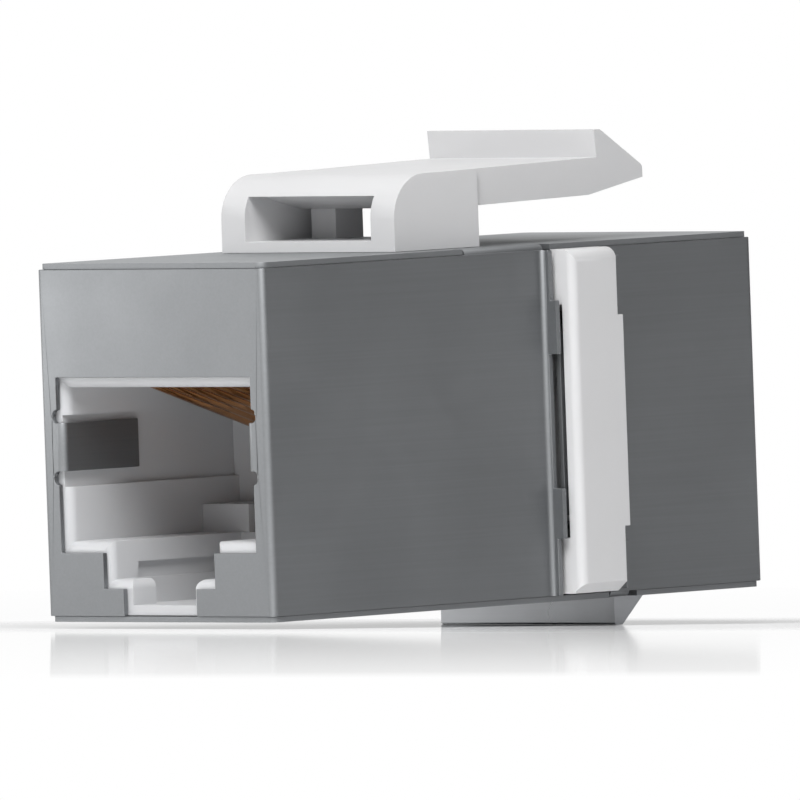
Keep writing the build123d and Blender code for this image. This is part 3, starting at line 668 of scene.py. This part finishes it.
# %% Give each node its material
finish = {
    "near_shell": shell_metal, "far_shell": shell_metal, "top_plate": plate_metal,
    "bottom_plate": plate_metal, "bottom_hook": hook_metal_painted_bright, "circuit_board": board_green,
    "near_jack_housing": housing_white_painted_shade, "far_jack_housing": housing_white_painted_shade,
    "near_contact_carrier": carrier_dark, "far_contact_carrier": carrier_dark,
}
dressed = [(clip_upper, clip_white), (stops, clip_white)]
dressed += [(row, contact_gold) for row in contact_rows]
for name, node in nodes.items():
    usual = contact_gold if "_contact_" in name else clip_white
    dressed.append((node, finish.get(name, usual)))
for piece, material in dressed:
    piece.data.materials.clear()
    piece.data.materials.append(material)
print("finished nodes and pieces", len(dressed))

# %% [markdown]
# ### Sheet edges
# Punching and folding leave a tiny round on every edge of thin sheet. It is far too small to
# see as a shape, but it catches a thin line of light, which is what tells the eye that the
# body is folded metal and not a block.

# %% Break the edges of the metal sheets
EDGE_ROUND, EDGE_ANGLE = 0.035, 40
for name in ("near_shell", "far_shell", "top_plate", "bottom_plate", "bottom_hook"):
    sheet = nodes[name]
    weld = sheet.modifiers.new("join_corners", "WELD")
    weld.merge_threshold = SAME_POINT_MM * MM
    edge = sheet.modifiers.new("broken_edge", "BEVEL")
    edge.width = EDGE_ROUND * MM
    edge.segments = 2
    edge.limit_method = "ANGLE"
    edge.angle_limit = math.radians(EDGE_ANGLE)
broken = [name for name, node in nodes.items() if "broken_edge" in node.modifiers]
print("sheets with broken edges", len(broken))

# %% [markdown]
# ## Floor
# The coupler stands on its near end's lower edge and on the hook, so it leans by two or three
# degrees. The floor is laid under those two lines, and the camera looks along it from just
# above. It is a polished white sheet. Close to the object it is a matt surface that takes the
# shadow, further out it is plain white, and a weak mirror image fades towards the camera.

# %% Floor under the near edge and the hook
# The hook's lower edge: its place from the near face and its drop under the bottom plate.
FOOT_Y, FOOT_DROP = 23.42, 1.35
FLOOR_SLOPE = -0.04494
FLOOR_REACH = 1500.0
BOTTOM_SHEET = 0.25
foot_z = SHELL_BASE - BOTTOM_SHEET - FOOT_DROP


def floor_height(y):
    """The hook's lower edge plus the slope times the distance from it along y."""
    return foot_z + FLOOR_SLOPE * (y - NEAR_FACE - FOOT_Y)


spread = np.array([(-1, -1), (1, -1), (1, 1), (-1, 1)]) * FLOOR_REACH
corners = np.column_stack([spread, floor_height(spread[:, 1])])
floor = mesh_piece("floor", corners, [(0, 1, 2, 3)])
print("floor height under the near face", round(floor_height(NEAR_FACE), 2))


# %% [markdown]
# ### Polished white sheet
# A real sheet in a studio burns out to white because it is strongly lit. Here it is white
# by itself to the camera and to metal, and stays an ordinary matt surface to the light that
# falls on the object, so it can't brighten the object from below.

# %% Which rays see the white
def seen_directly(tree):
    """One for camera, glossy and transmission rays, nought for light that falls on things."""
    rays = add(tree, "ShaderNodeLightPath").outputs
    two = {0: rays["Is Camera Ray"], 1: rays["Is Glossy Ray"]}
    seen = add(tree, "ShaderNodeMath", {"operation": "ADD"}, two).outputs["Value"]
    three = {0: seen, 1: rays["Is Transmission Ray"]}
    clamped = {"operation": "ADD", "use_clamp": True}
    return add(tree, "ShaderNodeMath", clamped, three).outputs["Value"]


# Polished acrylic: white to the eye, with a faint mirror image that fades forwards.
floor_sheet = bpy.data.materials.new("white_acrylic_sheet_polished")
floor_sheet.use_nodes = True
tree = floor_sheet.node_tree
tree.nodes.clear()
direct = seen_directly(tree)
print("nodes that tell the rays apart", len(tree.nodes))

# %% [markdown]
# ### Layers of the sheet
# The matt sheet gives way to plain white as the distance from the object grows, and the
# mirror image lies over both. The matt edge is measured from the origin on every side, and
# the mirror along the camera's direction.

# %% Matt, white and mirror
SHADOW_EDGE = (24 * MM, 42 * MM)
MIRROR_REACH = (50 * MM, 240 * MM)
MIRROR_FADE = (225 * MM, 250 * MM)
MIRROR_SHARES = (0.57, 0.15)
MIRROR_ROUGHNESS = 0.05
TOWARDS_CAMERA = (0.7087, -0.7055, 0.0)
WHITE = (1, 1, 1, 1)

place = {"Vector": add(tree, "ShaderNodeTexCoord").outputs["Object"]}
away = add(tree, "ShaderNodeVectorMath", {"operation": "LENGTH"}, place).outputs["Value"]
towards = {"operation": "DOT_PRODUCT", 1: TOWARDS_CAMERA}
along = add(tree, "ShaderNodeVectorMath", towards, place).outputs["Value"]
depth = add(tree, "ShaderNodeMath", {"operation": "ABSOLUTE"}, {0: along}).outputs["Value"]
far, strong, fade = (
    add(tree, "ShaderNodeMapRange", limits(*ends, *values), {"Value": source}).outputs["Result"]
    for source, ends, values in (
        (away, SHADOW_EDGE, (0.0, 1.0)),
        (depth, MIRROR_REACH, MIRROR_SHARES),
        (depth, MIRROR_FADE, (1.0, 0.0)),
    )
)
white_share, mirror_share = (
    add(tree, "ShaderNodeMath", {"operation": "MULTIPLY"}, {0: one, 1: other}).outputs["Value"]
    for one, other in ((far, direct), (strong, fade))
)
matt = add(tree, "ShaderNodeBsdfDiffuse", {"Color": linear("#D8D8D9")})
white = add(tree, "ShaderNodeEmission", {"Color": WHITE, "Strength": 1.0})
mirror = add(tree, "ShaderNodeBsdfGlossy", {"Color": WHITE, "Roughness": MIRROR_ROUGHNESS})
base = add(tree, "ShaderNodeMixShader", sources={
    0: white_share, 1: matt.outputs[0], 2: white.outputs[0],
})
polish = add(tree, "ShaderNodeMixShader", sources={
    0: mirror_share, 1: base.outputs[0], 2: mirror.outputs[0],
})
add(tree, "ShaderNodeOutputMaterial", sources={"Surface": polish.outputs[0]})
floor.data.materials.append(floor_sheet)
print("floor finish shader nodes", len(tree.nodes))

# %% [markdown]
# ## Light
# The key light stands high at the front and to the right: it makes the plastic's front and
# top bright and leaves the upper part of the socket in shadow. A small glow close to the near
# face gives the metal its soft brighter corner. The world is white to the camera and to
# metal, and only a weak fill for everything else.

# %% World and lamps
WORLD_LIGHT = 0.09
world = bpy.data.worlds.new("studio")
bpy.context.scene.world = world
world.use_nodes = True
sky = world.node_tree
sky.nodes.clear()
levels = limits(0.0, 1.0, WORLD_LIGHT, 1.0)
glow = add(sky, "ShaderNodeMapRange", levels, {"Value": seen_directly(sky)})
back = add(sky, "ShaderNodeBackground", {"Color": WHITE}, {"Strength": glow.outputs["Result"]})
add(sky, "ShaderNodeOutputWorld", sources={"Surface": back.outputs["Background"]})


def lamp(name, place_mm, aim_mm, size_mm, power):
    """A square area light at a place, turned to face an aim point."""
    data = bpy.data.lights.new(name, "AREA")
    data.size = size_mm * MM
    data.energy = power
    light = bpy.data.objects.new(name, data)
    light.location = Vector(place_mm) * MM
    towards = Vector(aim_mm) - Vector(place_mm)
    light.rotation_euler = towards.to_track_quat("-Z", "Y").to_euler()
    bpy.context.scene.collection.objects.link(light)


lamp("key", place_mm=(86, -128, 198), aim_mm=(0, -6, 0), size_mm=130, power=0.72)
lamp("near_face_glow", place_mm=(-30, -43, 6.5), aim_mm=(-6, -21, 5), size_mm=10, power=0.0015)

# %% [markdown]
# ### A grey card for the side wall
# Bare metal looks like what it mirrors. The side wall faces away from the lamps, and against
# a white room it would be nearly white, so a grey card stands where the side wall looks. The
# camera can't see the card and it casts no shadow.

# %% Grey card behind to the right
CARD_RIGHT, CARD_LEFT = (420, -60), (-20, 420)
CARD_LOW, CARD_HIGH = -200, 300
corners = [
    (*CARD_RIGHT, CARD_LOW), (*CARD_LEFT, CARD_LOW),
    (*CARD_LEFT, CARD_HIGH), (*CARD_RIGHT, CARD_HIGH),
]
card = mesh_piece("grey_card", corners, [(0, 1, 2, 3)])
card.visible_camera = False
card.visible_shadow = False
# Matt card: it gives the side wall an even grey to mirror.
card_matt, _, shader = new_material("grey_card_matt")
shader.inputs["Base Color"].default_value = linear("#ACACAD")
shader.inputs["Roughness"].default_value = 0.9
card.data.materials.append(card_matt)
print("grey card corners", len(card.data.vertices))

# %% [markdown]
# ## Camera
# A very long lens from far away gives the nearly parallel view of a product picture. Two
# angles turn the view, a third tips it, and the aim point is the place that lands in the
# middle of the frame.

# %% Camera
AZIMUTH, ELEVATION, ROLL = 45.137, 1.915, 2.048
AIM = (-2.934, -2.900, 1.028)
DISTANCE = 1617.2
LENS, SENSOR_WIDTH = 1600.0, 36.0
VIEW_END_M = 10.0
azimuth, elevation, roll = (math.radians(v) for v in (AZIMUTH, ELEVATION, ROLL))
level = math.cos(elevation)
forward = Vector((-math.sin(azimuth) * level, math.cos(azimuth) * level, -math.sin(elevation)))
level_right = Vector((math.cos(azimuth), math.sin(azimuth), 0))
level_up = level_right.cross(forward)
right = level_right * math.cos(roll) - level_up * math.sin(roll)
up = level_up * math.cos(roll) + level_right * math.sin(roll)
camera_data = bpy.data.cameras.new("camera")
camera_data.lens = LENS
camera_data.sensor_width = SENSOR_WIDTH
camera_data.clip_end = VIEW_END_M
camera = bpy.data.objects.new("camera", camera_data)
stand = (Vector(AIM) - forward * DISTANCE) * MM
camera.matrix_world = Matrix((
    (right.x, up.x, -forward.x, stand.x),
    (right.y, up.y, -forward.y, stand.y),
    (right.z, up.z, -forward.z, stand.z),
    (0, 0, 0, 1),
))
bpy.context.scene.collection.objects.link(camera)
bpy.context.scene.camera = camera
bpy.context.scene.view_settings.view_transform = "Standard"
print("camera at", [round(v, 3) for v in stand])
